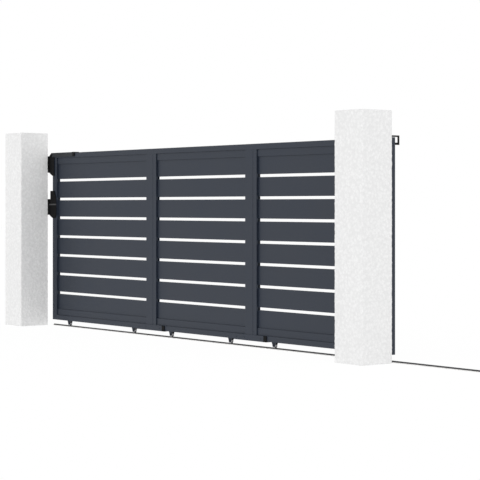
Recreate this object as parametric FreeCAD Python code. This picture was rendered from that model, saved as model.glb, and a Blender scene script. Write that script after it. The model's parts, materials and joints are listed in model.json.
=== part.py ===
import FreeCAD
import Part
import math
import os

# Sliding driveway gate: a leaf of three framed board sections runs on a ground rail behind two pillars.
# Millimetres. X runs along the gate in the opening direction, Y from the street to the yard, Z up.
# The origin is the middle of the left pillar's base.

# Pillars and the driveway between them
pillar_side = 304.0
pillar_height = 1860.0
pillar_arris = 6.0
opening_width = 4504.0

# Place of the leaf behind the pillars
leaf_gap = 17.0
leaf_depth = 40.0
leaf_offset = 55.0
leaf_end_inset = 32.0
ground_clearance = 57.5
moving_clearance = 3.0

# Frame profiles
profile_wall = 3.0
end_stile_width = 73.0
wide_stile_width = 101.0
narrow_stile_width = 49.0
rail_face = 45.0
top_rail_lap = 195.0
end_cap_thickness = 3.0

# Infill of boards between two grooved bands; the outer sections take what the middle one leaves
middle_infill = 1264.0
board_count = 8
board_height = 157.0
board_thickness = 16.0
board_recess = 18.0
board_wall = 2.0
board_gap = 23.5
band_face = 59.0
band_recess = 9.0
band_back_recess = 2.0
band_wall = 2.5
groove_depth = 12.0
groove_clearance = 0.4
board_end_play = 1.5

# Joining channels under the two joints of the leaf
channel_wall = 4.0
channel_floor = 5.0
channel_left = 250.0
channel_right = 144.0
channel_cap_length = 38.0
channel_cap_proud = 3.0

# Ground rail: a flat strip with a round-topped bead on a short stem
strip_width = 40.0
strip_thickness = 4.0
bead_stem = 4.0
bead_radius = 7.0
rail_overrun = 120.0
bead_clearance = 0.3

# Grooved wheels and their carriers
wheel_radius = 20.0
wheel_width = 20.0
wheel_side_play = 0.5
groove_floor_radius = 16.0
groove_width = 15.0
axle_radius = 5.0
axle_clearance = 0.05
axle_head_across_flats = 13.0
axle_head_thickness = 4.0
carrier_from_left = 210.0
carrier_from_right = 213.0
carrier_plate = 4.0
carrier_seat_half_length = 45.0
carrier_half_width = 23.0
carrier_foot_half_width = 9.0
carrier_foot_drop = 9.0

# Stop at the far end of the rail
stop_length = 60.0
stop_height = 38.0
stop_clearance = 8.0
buffer_thickness = 12.0
buffer_side = 18.0

# Catches on the left pillar: two cheeks each, which the leaf's leading edge slides in between
catch_play = 8.0
catch_sheet = 5.0
catch_chamfer_run = 58.0
catch_chamfer_rise = 31.0
catch_flange_width = 80.0
catch_flange_thickness = 12.0

# Receiver for the leaf's top corner: a catch, a channel over the top rail and the channel's mouth
receiver_lap = 35.0
receiver_drop = 221.0
receiver_top_run = 41.0
receiver_sheet = 2.0
receiver_flange = 42.0
receiver_length = 370.0
mouth_length = 36.0
mouth_proud = 1.5
closing_pad_height = 90.0
closing_pad_width = 26.0
closing_pad_drop = 70.0

# Lock on the leaf's leading edge and its keeper, a catch with a strike plate set across it
lock_height = 1168.0
lock_plate_length = 200.0
lock_plate_width = 20.0
lock_plate_thickness = 3.0
tongue_reach = 21.0
tongue_height = 30.0
tongue_thickness = 8.0
tongue_side_clearance = 6.0
tongue_end_clearance = 7.0
keeper_lap = 71.0
keeper_back_lap = 58.0
keeper_foot_drop = 130.0
keeper_shoulder_rise = 53.0
keeper_head_rise = 132.0
keeper_head_inset = 22.0
keeper_head_width = 68.0
keeper_toe_run = 18.0
keeper_toe_rise = 22.0
strike_thickness = 13.0

# Top guide on the right pillar
guide_from_edge = 61.0
guide_bar_width = 8.0
guide_bar = 12.0
guide_tip = 17.0
guide_leg = 14.0
guide_clearance = 4.0
guide_reach = 54.0
guide_drop = 54.5
guide_plate_width = 90.0
guide_plate_height = 100.0
guide_plate_thickness = 6.0
pad_thickness = 5.0
pad_clearance = 0.3
front_pad_width = 80.0
front_pad_height = 80.0
front_pad_drop = 20.0

# Places worked out from the sizes above
pillar_half = pillar_side / 2
right_pillar_x = opening_width + pillar_side
pillar_back = pillar_half
leaf_front = pillar_back + leaf_gap
leaf_back = leaf_front + leaf_depth
leaf_middle = leaf_front + leaf_depth / 2
leaf_left = pillar_half + leaf_offset
leaf_length = opening_width + pillar_side - leaf_offset - leaf_end_inset
stile_widths = 2 * (end_stile_width + wide_stile_width + narrow_stile_width)
outer_infill = (leaf_length - stile_widths - middle_infill) / 2
leaf_bottom = ground_clearance
infill_bottom = leaf_bottom + rail_face + band_face - groove_depth
infill_height = board_count * board_height + (board_count - 1) * board_gap
stile_top = infill_bottom + infill_height - groove_depth + band_face
leaf_top = stile_top + rail_face
board_front = leaf_front + board_recess
groove_front = board_front - groove_clearance
groove_back = board_front + board_thickness + groove_clearance
bead_centre_z = strip_thickness + bead_stem
rail_top = bead_centre_z + bead_radius
axle_z = rail_top + bead_clearance + groove_floor_radius
fork_half = wheel_width / 2 + wheel_side_play + carrier_plate
fork_front = leaf_middle - fork_half
fork_back = leaf_middle + fork_half
travel = opening_width - leaf_offset
catch_inner_front = leaf_front - moving_clearance
catch_inner_back = leaf_back + moving_clearance
catch_front = catch_inner_front - catch_sheet
catch_back = catch_inner_back + catch_sheet
catch_end = leaf_left - catch_play
receiver_top = leaf_top + moving_clearance + receiver_sheet
receiver_lip = receiver_top - receiver_flange

# Left stile, infill and right stile of each section, from left to right
section_widths = [
    (end_stile_width, outer_infill, wide_stile_width),
    (narrow_stile_width, middle_infill, wide_stile_width),
    (narrow_stile_width, outer_infill, end_stile_width),
]

nodes = {}


def box(x0, x1, y0, y1, z0, z1):
    """Block between two opposite corners."""
    return Part.makeBox(x1 - x0, y1 - y0, z1 - z0, FreeCAD.Vector(x0, y0, z0))


def prism(points, direction):
    """Solid swept straight from a flat outline."""
    outline = [FreeCAD.Vector(*point) for point in points]
    outline.append(outline[0])
    return Part.Face(Part.makePolygon(outline)).extrude(FreeCAD.Vector(*direction))


def rod(x, z, radius, y0, y1):
    """Round bar along Y."""
    return Part.makeCylinder(radius, y1 - y0, FreeCAD.Vector(x, y0, z), FreeCAD.Vector(0, 1, 0))


def hexagon(x, z, across_flats, y0, y1):
    """Six-sided bolt head along Y."""
    reach = across_flats / math.sqrt(3)
    turns = [math.radians(60 * side) for side in range(6)]
    corners = [(x + reach * math.cos(turn), y0, z + reach * math.sin(turn)) for turn in turns]
    return prism(corners, (0, y1 - y0, 0))


def tube_along_x(x0, x1, z0, z1):
    """Rectangular tube of the leaf's depth."""
    outer = box(x0, x1, leaf_front, leaf_back, z0, z1)
    hollow = box(
        x0, x1, leaf_front + profile_wall, leaf_back - profile_wall, z0 + profile_wall, z1 - profile_wall
    )
    return outer.cut(hollow)


def pillar(centre_x):
    """Square rendered pillar with eased arrises."""
    body = box(
        centre_x - pillar_half, centre_x + pillar_half, -pillar_half, pillar_half, 0, pillar_height
    )
    arrises = [edge for edge in body.Edges if edge.BoundBox.ZMax > pillar_height / 2]
    return body.makeChamfer(pillar_arris, arrises)


def stile(x0, width, groove_on_right):
    """Upright tube with the board groove down its inner face."""
    def across(distance):
        return x0 + distance if groove_on_right else x0 + width - distance

    outline = [
        (0, leaf_front),
        (width, leaf_front),
        (width, groove_front),
        (width - groove_depth, groove_front),
        (width - groove_depth, groove_back),
        (width, groove_back),
        (width, leaf_back),
        (0, leaf_back),
    ]
    hollow_end = width - groove_depth - profile_wall
    hollow = [
        (profile_wall, leaf_front + profile_wall),
        (hollow_end, leaf_front + profile_wall),
        (hollow_end, leaf_back - profile_wall),
        (profile_wall, leaf_back - profile_wall),
    ]
    rise = (0, 0, stile_top - leaf_bottom)
    solid = prism([(across(x), y, leaf_bottom) for x, y in outline], rise)
    return solid.cut(prism([(across(x), y, leaf_bottom) for x, y in hollow], rise))


def band(x0, x1, z_plain, rise):
    """Grooved profile that holds the edge board; rise is +1 for the lower band and -1 for the upper."""
    y0 = leaf_front + band_recess
    y1 = leaf_back - band_back_recess
    z_lip = z_plain + rise * band_face
    z_floor = z_lip - rise * (groove_depth + groove_clearance)
    z_hollow_start = z_plain + rise * band_wall
    z_hollow_end = z_floor - rise * band_wall
    outline = [
        (y0, z_plain),
        (y1, z_plain),
        (y1, z_lip),
        (groove_back, z_lip),
        (groove_back, z_floor),
        (groove_front, z_floor),
        (groove_front, z_lip),
        (y0, z_lip),
    ]
    hollow = [
        (y0 + band_wall, z_hollow_start),
        (y1 - band_wall, z_hollow_start),
        (y1 - band_wall, z_hollow_end),
        (y0 + band_wall, z_hollow_end),
    ]
    run = (x1 - x0, 0, 0)
    solid = prism([(x0, y, z) for y, z in outline], run)
    return solid.cut(prism([(x0, y, z) for y, z in hollow], run))


def board(x0, x1, z0):
    """Hollow board with square edges."""
    y1 = board_front + board_thickness
    outer = box(x0, x1, board_front, y1, z0, z0 + board_height)
    hollow = box(
        x0, x1, board_front + board_wall, y1 - board_wall, z0 + board_wall, z0 + board_height - board_wall
    )
    return outer.cut(hollow)


def bottom_rail(x0, x1, wheel_places):
    """Lower frame tube with its underside cut open over each wheel carrier."""
    solid = tube_along_x(x0, x1, leaf_bottom, leaf_bottom + rail_face)
    for x in wheel_places:
        pocket = box(
            x - carrier_half_width,
            x + carrier_half_width,
            fork_front,
            fork_back,
            leaf_bottom,
            leaf_bottom + profile_wall,
        )
        solid = solid.cut(pocket)
    return solid


def wheel_carrier(x):
    """Fork hung from a seat plate inside the bottom rail, with the wheel's axle and its two bolt heads."""
    roof = leaf_bottom + rail_face - profile_wall
    foot = axle_z - carrier_foot_drop
    outline = [
        (x - carrier_half_width, roof),
        (x + carrier_half_width, roof),
        (x + carrier_half_width, leaf_bottom),
        (x + carrier_foot_half_width, foot),
        (x - carrier_foot_half_width, foot),
        (x - carrier_half_width, leaf_bottom),
    ]
    seat = box(
        x - carrier_seat_half_length,
        x + carrier_seat_half_length,
        leaf_front + profile_wall,
        leaf_back - profile_wall,
        roof - carrier_plate,
        roof,
    )
    front_leg = prism([(px, fork_front, pz) for px, pz in outline], (0, carrier_plate, 0))
    back_leg = prism([(px, fork_back - carrier_plate, pz) for px, pz in outline], (0, carrier_plate, 0))
    axle = rod(x, axle_z, axle_radius, fork_front, fork_back)
    front_head = hexagon(x, axle_z, axle_head_across_flats, fork_front - axle_head_thickness, fork_front)
    back_head = hexagon(x, axle_z, axle_head_across_flats, fork_back, fork_back + axle_head_thickness)
    return seat.multiFuse([front_leg, back_leg, axle, front_head, back_head]).removeSplitter()


def grooved_wheel(x):
    """Wheel turned with a groove that straddles the rail's bead and rests on its top."""
    bore = axle_radius + axle_clearance
    corners = [
        (groove_floor_radius, groove_width / 2),
        (wheel_radius, groove_width / 2),
        (wheel_radius, wheel_width / 2),
        (bore, wheel_width / 2),
    ]
    section = corners + [(radius, -across) for radius, across in reversed(corners)]
    outline = [FreeCAD.Vector(x + radius, leaf_middle + across, axle_z) for radius, across in section]
    outline.append(outline[0])
    profile = Part.Face(Part.makePolygon(outline))
    return profile.revolve(FreeCAD.Vector(x, leaf_middle, axle_z), FreeCAD.Vector(0, 1, 0), 360)


def channel_profile(x0, x1, wall, floor):
    """U-shaped length folded up round the bottom rail."""
    outer = box(
        x0, x1, leaf_front - wall, leaf_back + wall, leaf_bottom - floor, leaf_bottom + rail_face
    )
    return outer.cut(box(x0, x1, leaf_front, leaf_back, leaf_bottom, leaf_bottom + rail_face))


def ground_rail(x0, x1):
    """Flat strip with a round-topped bead down its middle."""
    def at(across, z):
        return FreeCAD.Vector(x0, leaf_middle + across, z)

    half = strip_width / 2
    corners = [
        at(-bead_radius, bead_centre_z),
        at(-bead_radius, strip_thickness),
        at(-half, strip_thickness),
        at(-half, 0),
        at(half, 0),
        at(half, strip_thickness),
        at(bead_radius, strip_thickness),
        at(bead_radius, bead_centre_z),
    ]
    edges = [Part.LineSegment(a, b).toShape() for a, b in zip(corners[:-1], corners[1:])]
    edges.append(Part.Arc(corners[-1], at(0, rail_top), corners[0]).toShape())
    return Part.Face(Part.Wire(edges)).extrude(FreeCAD.Vector(x1 - x0, 0, 0))


def rail_stop(x0):
    """Low block that straddles the bead at the rail's end."""
    half = strip_width / 2
    block = box(
        x0,
        x0 + stop_length,
        leaf_middle - half,
        leaf_middle + half,
        strip_thickness,
        strip_thickness + stop_height,
    )
    tunnel_half = bead_radius + bead_clearance
    tunnel_roof = Part.makeCylinder(
        tunnel_half,
        stop_length,
        FreeCAD.Vector(x0, leaf_middle, bead_centre_z),
        FreeCAD.Vector(1, 0, 0),
    )
    tunnel = box(
        x0,
        x0 + stop_length,
        leaf_middle - tunnel_half,
        leaf_middle + tunnel_half,
        strip_thickness,
        bead_centre_z,
    )
    return block.cut(tunnel.fuse(tunnel_roof))


def stop_buffer(x1):
    """Rubber block on the face of the rail stop, level with the wheels' axles."""
    half = buffer_side / 2
    return box(
        x1 - buffer_thickness, x1, leaf_middle - half, leaf_middle + half, axle_z - half, axle_z + half
    )


def receiver_section(x0, x1, proud):
    """Length of the downward channel that the leaf's top corner slides into."""
    inner_top = leaf_top + moving_clearance
    sheet = receiver_sheet + proud
    outer = box(x0, x1, catch_inner_front - sheet, catch_inner_back + sheet, receiver_lip, inner_top + sheet)
    return outer.cut(box(x0, x1, catch_inner_front, catch_inner_back, receiver_lip, inner_top))


def catch(outline, flange_bottom, flange_top):
    """Two cheeks and the web between them, held by a flange on the pillar's back face."""
    z0 = min(z for x, z in outline)
    z1 = max(z for x, z in outline)
    x1 = max(x for x, z in outline)
    depth = (0, catch_back - catch_front, 0)
    body = prism([(x, catch_front, z) for x, z in outline], depth)
    body = body.cut(box(catch_end, x1, catch_inner_front, catch_inner_back, z0, z1))
    flange = box(
        pillar_half - catch_flange_width,
        pillar_half,
        pillar_back,
        pillar_back + catch_flange_thickness,
        flange_bottom,
        flange_top,
    )
    return body.fuse(flange).removeSplitter()


def receiver_block():
    """Catch at the leaf's top corner; its cheeks stop under the channel's lips."""
    x0 = pillar_half
    x1 = leaf_left + receiver_lap
    foot = receiver_top - receiver_drop
    z_low = foot + catch_chamfer_rise
    z_high = receiver_top - catch_chamfer_rise
    outline = [
        (x0 + catch_chamfer_run, foot),
        (x1, foot),
        (x1, receiver_lip),
        (catch_end, receiver_lip),
        (catch_end, receiver_top),
        (x0 + receiver_top_run, receiver_top),
        (x0, z_high),
        (x0, z_low),
    ]
    return catch(outline, z_low, z_high)


def closing_pad():
    """Rubber pad in the receiver that the leaf's leading edge comes to rest against."""
    z1 = leaf_top - closing_pad_drop
    half = closing_pad_width / 2
    return box(
        catch_end,
        leaf_left - pad_clearance,
        leaf_middle - half,
        leaf_middle + half,
        z1 - closing_pad_height,
        z1,
    )


def lock_keeper():
    """Catch with a sloping head, a short back cheek and the tongue's slot, and the strike plate across it."""
    x0 = pillar_half
    x1 = leaf_left + keeper_lap
    x_head = x0 + keeper_head_inset
    foot = lock_height - keeper_foot_drop
    z_low = foot + catch_chamfer_rise
    z_shoulder = lock_height + keeper_shoulder_rise
    z_head = lock_height + keeper_head_rise
    outline = [
        (x0 + catch_chamfer_run, foot),
        (x1 - keeper_toe_run, foot),
        (x1, foot + keeper_toe_rise),
        (x1, z_shoulder),
        (x_head + keeper_head_width, z_head),
        (x_head, z_head),
        (x_head, z_shoulder),
        (x0, z_shoulder),
        (x0, z_low),
    ]
    slot_half = tongue_thickness / 2 + tongue_side_clearance
    slot_rise = tongue_height / 2 + tongue_end_clearance
    slot_floor = leaf_left - lock_plate_thickness - tongue_reach - tongue_end_clearance
    slot = box(
        slot_floor,
        catch_end,
        leaf_middle - slot_half,
        leaf_middle + slot_half,
        lock_height - slot_rise,
        lock_height + slot_rise,
    )
    half = strike_thickness / 2
    layer = box(x0, x1, catch_front, catch_back, lock_height - half, lock_height + half)
    behind_boards = box(leaf_left + keeper_back_lap, x1, catch_inner_back, catch_back, foot, z_head)
    whole = catch(outline, z_low, z_shoulder).cut(slot).cut(behind_boards)
    return whole.cut(layer), whole.common(layer)


def leaf_lock():
    """Face plate on the leaf's leading edge with the tongue that enters the keeper."""
    half = lock_plate_width / 2
    plate = box(
        leaf_left - lock_plate_thickness,
        leaf_left,
        leaf_middle - half,
        leaf_middle + half,
        lock_height - lock_plate_length / 2,
        lock_height + lock_plate_length / 2,
    )
    tongue = box(
        leaf_left - lock_plate_thickness - tongue_reach,
        leaf_left - lock_plate_thickness,
        leaf_middle - tongue_thickness / 2,
        leaf_middle + tongue_thickness / 2,
        lock_height - tongue_height / 2,
        lock_height + tongue_height / 2,
    )
    return plate.fuse(tongue).removeSplitter()


def top_guide(x):
    """Bar bent over the leaf's top from a plate on the pillar, turned back in to the leaf's rear face."""
    z_arm = leaf_top + guide_clearance
    y_plate = pillar_back + guide_plate_thickness
    y_inner = leaf_back + guide_reach
    y_outer = y_inner + guide_leg
    y_tip = leaf_back + pad_clearance + pad_thickness
    z_tip = leaf_top - guide_drop
    outline = [
        (y_plate, z_arm),
        (y_inner, z_arm),
        (y_inner, z_tip + guide_tip),
        (y_tip, z_tip + guide_tip),
        (y_tip, z_tip),
        (y_outer, z_tip),
        (y_outer, z_arm + guide_bar),
        (y_plate, z_arm + guide_bar),
    ]
    x0 = x - guide_bar_width / 2
    hook = prism([(x0, y, z) for y, z in outline], (guide_bar_width, 0, 0))
    plate_left = x + guide_bar_width / 2 - guide_plate_width
    plate = box(
        plate_left, plate_left + guide_plate_width, pillar_back, y_plate, z_arm, z_arm + guide_plate_height
    )
    return hook.fuse(plate).removeSplitter()


def guide_pads(x):
    """Slide pads in front of and behind the leaf's top."""
    z_tip = leaf_top - guide_drop
    y_rear = leaf_back + pad_clearance
    rear = box(
        x - guide_bar_width / 2,
        x + guide_bar_width / 2,
        y_rear,
        y_rear + pad_thickness,
        z_tip,
        z_tip + guide_tip,
    )
    front_right = x + guide_bar_width / 2
    front_top = leaf_top - front_pad_drop
    front = box(
        front_right - front_pad_width,
        front_right,
        pillar_back,
        leaf_front - pad_clearance,
        front_top - front_pad_height,
        front_top,
    )
    return Part.makeCompound([front, rear])


# Pillars
nodes["left_pillar"] = pillar(0)
nodes["right_pillar"] = pillar(right_pillar_x)

# Sections of the leaf, each with its two wheels
joints = []
wheel_places = []
section_left = leaf_left
for number, (left_width, infill, right_width) in enumerate(section_widths, start=1):
    name = "section_%d" % number
    infill_left = section_left + left_width
    infill_right = infill_left + infill
    section_right = infill_right + right_width
    places = [infill_left + carrier_from_left, infill_right - carrier_from_right]
    nodes[name + "_left_stile"] = stile(section_left, left_width, True)
    nodes[name + "_right_stile"] = stile(infill_right, right_width, False)
    nodes[name + "_bottom_rail"] = bottom_rail(infill_left, infill_right, places)
    nodes[name + "_bands"] = Part.makeCompound([
        band(infill_left, infill_right, leaf_bottom + rail_face, 1),
        band(infill_left, infill_right, stile_top, -1),
    ])
    board_left = infill_left - groove_depth + board_end_play
    board_right = infill_right + groove_depth - board_end_play
    nodes[name + "_boards"] = Part.makeCompound([
        board(board_left, board_right, infill_bottom + index * (board_height + board_gap))
        for index in range(board_count)
    ])
    wheel_places += places
    joints.append(section_right)
    section_left = section_right
leaf_right = joints.pop()

# Top rail lengths lie over the stiles and meet a little past each joint
top_ends = [leaf_left + end_cap_thickness]
top_ends += [joint + top_rail_lap for joint in joints]
top_ends.append(leaf_right - end_cap_thickness)
for number, (x0, x1) in enumerate(zip(top_ends[:-1], top_ends[1:]), start=1):
    nodes["top_rail_%d" % number] = tube_along_x(x0, x1, stile_top, leaf_top)
nodes["top_rail_caps"] = Part.makeCompound([
    box(leaf_left, top_ends[0], leaf_front, leaf_back, stile_top, leaf_top),
    box(top_ends[-1], leaf_right, leaf_front, leaf_back, stile_top, leaf_top),
])

# Joining channels and their end caps
for number, joint in enumerate(joints, start=1):
    nodes["joining_channel_%d" % number] = channel_profile(
        joint - channel_left, joint + channel_right, channel_wall, channel_floor
    )
    nodes["joining_channel_cap_%d" % number] = channel_profile(
        joint + channel_right,
        joint + channel_right + channel_cap_length,
        channel_wall + channel_cap_proud,
        channel_floor,
    )

# Wheels and carriers
for number, x in enumerate(wheel_places, start=1):
    nodes["wheel_carrier_%d" % number] = wheel_carrier(x)
    nodes["wheel_%d" % number] = grooved_wheel(x)

# Ground rail as long as the full travel needs, and its stop
buffer_face = wheel_places[-1] + travel + wheel_radius + stop_clearance
stop_left = buffer_face + buffer_thickness
rail_end = stop_left + stop_length + rail_overrun
nodes["ground_rail"] = ground_rail(leaf_left, rail_end)
nodes["rail_stop"] = rail_stop(stop_left)
nodes["stop_buffer"] = stop_buffer(stop_left)

# Receiver, lock and top guide
channel_end = catch_end + receiver_length
nodes["receiver_block"] = receiver_block()
nodes["receiver_channel"] = receiver_section(catch_end, channel_end, 0)
nodes["receiver_mouth"] = receiver_section(channel_end, channel_end + mouth_length, mouth_proud)
nodes["closing_pad"] = closing_pad()
nodes["lock_keeper"], nodes["keeper_strike"] = lock_keeper()
nodes["leaf_lock"] = leaf_lock()
guide_x = right_pillar_x + pillar_half - guide_from_edge
nodes["top_guide"] = top_guide(guide_x)
nodes["guide_pads"] = guide_pads(guide_x)

os.makedirs("parts", exist_ok=True)
for node, shape in nodes.items():
    shape.exportStep("parts/%s.step" % node)
    print("%s: %d solids, %.0f mm3, valid %s" % (node, len(shape.Solids), shape.Volume, shape.isValid()))
print("leaf from %.1f to %.1f, top %.1f" % (leaf_left, leaf_right, leaf_top))
print("travel %.1f, axle height %.2f, rail end %.1f" % (travel, axle_z, rail_end))
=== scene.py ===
"""Looks and stage of a sliding driveway gate with a powder-coated leaf and sprayed pillars."""

import json
import math

import bmesh
import bpy
from bpy.props import FloatProperty, FloatVectorProperty, PointerProperty
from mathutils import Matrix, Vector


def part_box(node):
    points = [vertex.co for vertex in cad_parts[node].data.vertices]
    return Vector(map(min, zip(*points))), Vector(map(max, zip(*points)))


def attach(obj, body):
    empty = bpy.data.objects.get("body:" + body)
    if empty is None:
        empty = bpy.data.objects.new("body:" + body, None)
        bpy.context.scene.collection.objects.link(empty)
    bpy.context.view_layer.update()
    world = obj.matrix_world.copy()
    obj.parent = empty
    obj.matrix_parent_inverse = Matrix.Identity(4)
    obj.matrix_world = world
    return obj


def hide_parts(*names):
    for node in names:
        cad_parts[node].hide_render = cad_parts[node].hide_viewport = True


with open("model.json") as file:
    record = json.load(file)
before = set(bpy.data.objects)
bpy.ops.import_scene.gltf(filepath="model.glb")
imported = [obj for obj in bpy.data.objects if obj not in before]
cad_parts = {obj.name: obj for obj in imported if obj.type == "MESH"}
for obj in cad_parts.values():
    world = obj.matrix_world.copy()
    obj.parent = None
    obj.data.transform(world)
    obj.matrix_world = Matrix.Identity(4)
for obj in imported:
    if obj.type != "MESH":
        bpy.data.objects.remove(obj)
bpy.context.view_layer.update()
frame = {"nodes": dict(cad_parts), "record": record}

bl_info = {
    "name": "Sliding Driveway Gate",
    "version": (1, 0, 0),
    "blender": (4, 5, 0),
    "location": "View3D > Sidebar > Gate",
    "description": "Dresses the packed model of a sliding driveway gate and sets its stage",
    "category": "Object",
}

# Bodies, and the numbers of the leaf's sections, joints and wheels
FIXED = "posts_and_rail"
LEAF = "leaf"
SECTIONS = (1, 2, 3)
JOINTS = (1, 2)
WHEELS = (1, 2, 3, 4, 5, 6)

# Ways that fasteners face
LEFT = (-1, 0, 0)
RIGHT = (1, 0, 0)
FRONT = (0, -1, 0)
BACK = (0, 1, 0)
UP = (0, 0, 1)

# Points nearer than the weld are one point, faces within the flat angle are one face,
# and faces that meet at more than the corner angle make an edge to round
WELD = 0.00001
FLAT_ANGLE = math.radians(0.5)
CORNER_ANGLE = math.radians(25)

# Edges up to these lengths stay sharp: on profiles, plates, folds and blocks,
# and on pieces that are rounded only along their length
PROFILE_EDGE = 0.0025
PLATE_EDGE = 0.003
FOLD_EDGE = 0.004
BLOCK_EDGE = 0.010
LENGTHWAYS_EDGE = 0.5

# Scaling of the coordinates that draws marks out along the gate or across it
ALONG_GATE = (0.02, 1.0, 1.0)
ACROSS_GATE = (1.0, 0.25, 1.0)

# Places of the Mix node's colour sockets, whose names repeat
MIX_SHARE = 0
MIX_FIRST = 6
MIX_SECOND = 7
MIX_RESULT = 2

# White of the floor and the dome, the camera's sensor in millimetres and how far it sees in metres
WHITE = (1.0, 1.0, 1.0, 1.0)
SENSOR_WIDTH = 36.0
VIEW_DEPTH = 200.0

# Shader groups by name, and materials by their slot in the record
effects = {}
finishes = {}


# Reading the frame

def slot_of(node):
    """The record's material slot of a node."""
    for part in frame["record"]["subparts"]:
        if part["node"] == node:
            return part["material_slot"]
    raise RuntimeError("no material slot for " + node)


# Properties

class GateSizes(bpy.types.PropertyGroup):
    """Sizes of the finish and of the small fasteners."""

    profile_radius: FloatProperty(
        name="Profile Edge Radius", description="Rounding of the leaf's profiles, the guide and the pads",
        default=0.0009, unit="LENGTH",
    )
    seam_radius: FloatProperty(
        name="Seam Radius", description="Rounding of the stiles' edges that meet at a joint of the leaf",
        default=0.0040, unit="LENGTH",
    )
    catch_radius: FloatProperty(
        name="Catch Edge Radius", description="Rounding of the black catches on the left pillar",
        default=0.0015, unit="LENGTH",
    )
    steel_radius: FloatProperty(
        name="Steel Edge Radius", description="Rounding of cut and turned steel edges",
        default=0.0006, unit="LENGTH",
    )
    coat_spacing: FloatProperty(
        name="Coat Spacing", description="Distance between the points of the sprayed coat's mesh",
        default=0.006, unit="LENGTH",
    )
    coat_relief: FloatProperty(
        name="Coat Relief", description="Depth from the highest grain of the sprayed coat to its hollows",
        default=0.0040, unit="LENGTH",
    )
    coat_grain: FloatProperty(
        name="Coat Grain", description="Size of the sprayed coat's grains",
        default=0.024, unit="LENGTH",
    )
    coat_arris: FloatProperty(
        name="Coat Arris", description="Rounding of the pillars' edges",
        default=0.007, unit="LENGTH",
    )
    # Below this height the rail carries a pale painted reflection of the white surroundings
    strip_top: FloatProperty(
        name="Strip Top", description="Height of the ground rail's flat strip, where dust gathers",
        default=0.004, unit="LENGTH",
    )
    rail_screw_spacing: FloatProperty(
        name="Rail Screw Spacing", description="Distance between the screws along the ground rail",
        default=0.5, unit="LENGTH",
    )
    bolt_head: FloatProperty(
        name="Bolt Head", description="Width of the hexagon bolt heads across their corners",
        default=0.0196, unit="LENGTH",
    )
    bolt_height: FloatProperty(
        name="Bolt Head Height", description="Height of the hexagon bolt heads",
        default=0.0055, unit="LENGTH",
    )
    washer_radius: FloatProperty(
        name="Washer Radius", description="Radius of the washers under the bolt heads",
        default=0.0115, unit="LENGTH",
    )
    washer_thickness: FloatProperty(
        name="Washer Thickness", description="Thickness of the washers up to their chamfer",
        default=0.0018, unit="LENGTH",
    )
    screw_head: FloatProperty(
        name="Screw Head", description="Diameter of the leaf's painted screw heads",
        default=0.011, unit="LENGTH",
    )
    screw_height: FloatProperty(
        name="Screw Head Height", description="Height of the leaf's painted screw heads",
        default=0.0026, unit="LENGTH",
    )
    rail_screw_head: FloatProperty(
        name="Rail Screw Head", description="Diameter of the ground rail's screw heads",
        default=0.0084, unit="LENGTH",
    )
    rail_screw_height: FloatProperty(
        name="Rail Screw Head Height", description="Height of the ground rail's screw heads",
        default=0.0013, unit="LENGTH",
    )
    lock_screw_head: FloatProperty(
        name="Lock Screw Head", description="Diameter of the lock plate's screw heads",
        default=0.009, unit="LENGTH",
    )
    lock_screw_height: FloatProperty(
        name="Lock Screw Head Height", description="Height of the lock plate's screw heads",
        default=0.0009, unit="LENGTH",
    )


class GateColours(bpy.types.PropertyGroup):
    """Colours of the gate's finishes."""

    anthracite: FloatVectorProperty(
        name="Anthracite", description="Powder coat of the leaf", subtype="COLOR", size=3,
        default=(0.0095, 0.0162, 0.0305), min=0.0, max=1.0,
    )
    black: FloatVectorProperty(
        name="Black", description="Paint of the catches, guide and rail stop", subtype="COLOR", size=3,
        default=(0.005, 0.005, 0.0055), min=0.0, max=1.0,
    )
    grey: FloatVectorProperty(
        name="Grey", description="Paint of the receiver channel", subtype="COLOR", size=3,
        default=(0.019, 0.022, 0.026), min=0.0, max=1.0,
    )
    coat_white: FloatVectorProperty(
        name="Coat White", description="Sprayed coat of the pillars", subtype="COLOR", size=3,
        default=(0.878, 0.878, 0.878), min=0.0, max=1.0,
    )
    steel: FloatVectorProperty(
        name="Steel", description="Bare steel of the wheels", subtype="COLOR", size=3,
        default=(0.33, 0.33, 0.34), min=0.0, max=1.0,
    )
    strike: FloatVectorProperty(
        name="Strike", description="Dark zinc of the lock's plate, its keeper's strike and the bolts",
        subtype="COLOR", size=3, default=(0.13, 0.13, 0.135), min=0.0, max=1.0,
    )
    rail: FloatVectorProperty(
        name="Rail", description="Weathered steel of the ground rail's bead", subtype="COLOR", size=3,
        default=(0.045, 0.045, 0.048), min=0.0, max=1.0,
    )
    # Painted reflection: pale colour on the rail's flat strip that stands in for its reflection of the
    # white surroundings
    strip_sheen: FloatVectorProperty(
        name="Dust", description="Pale dust on the ground rail's flat strip", subtype="COLOR", size=3,
        default=(0.84, 0.835, 0.82), min=0.0, max=1.0,
    )
    plastic: FloatVectorProperty(
        name="Plastic", description="Plastic of the slide pads and the caps", subtype="COLOR", size=3,
        default=(0.005, 0.005, 0.0055), min=0.0, max=1.0,
    )
    rubber: FloatVectorProperty(
        name="Rubber", description="Rubber of the closing pad and the buffer", subtype="COLOR", size=3,
        default=(0.014, 0.014, 0.014), min=0.0, max=1.0,
    )


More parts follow.
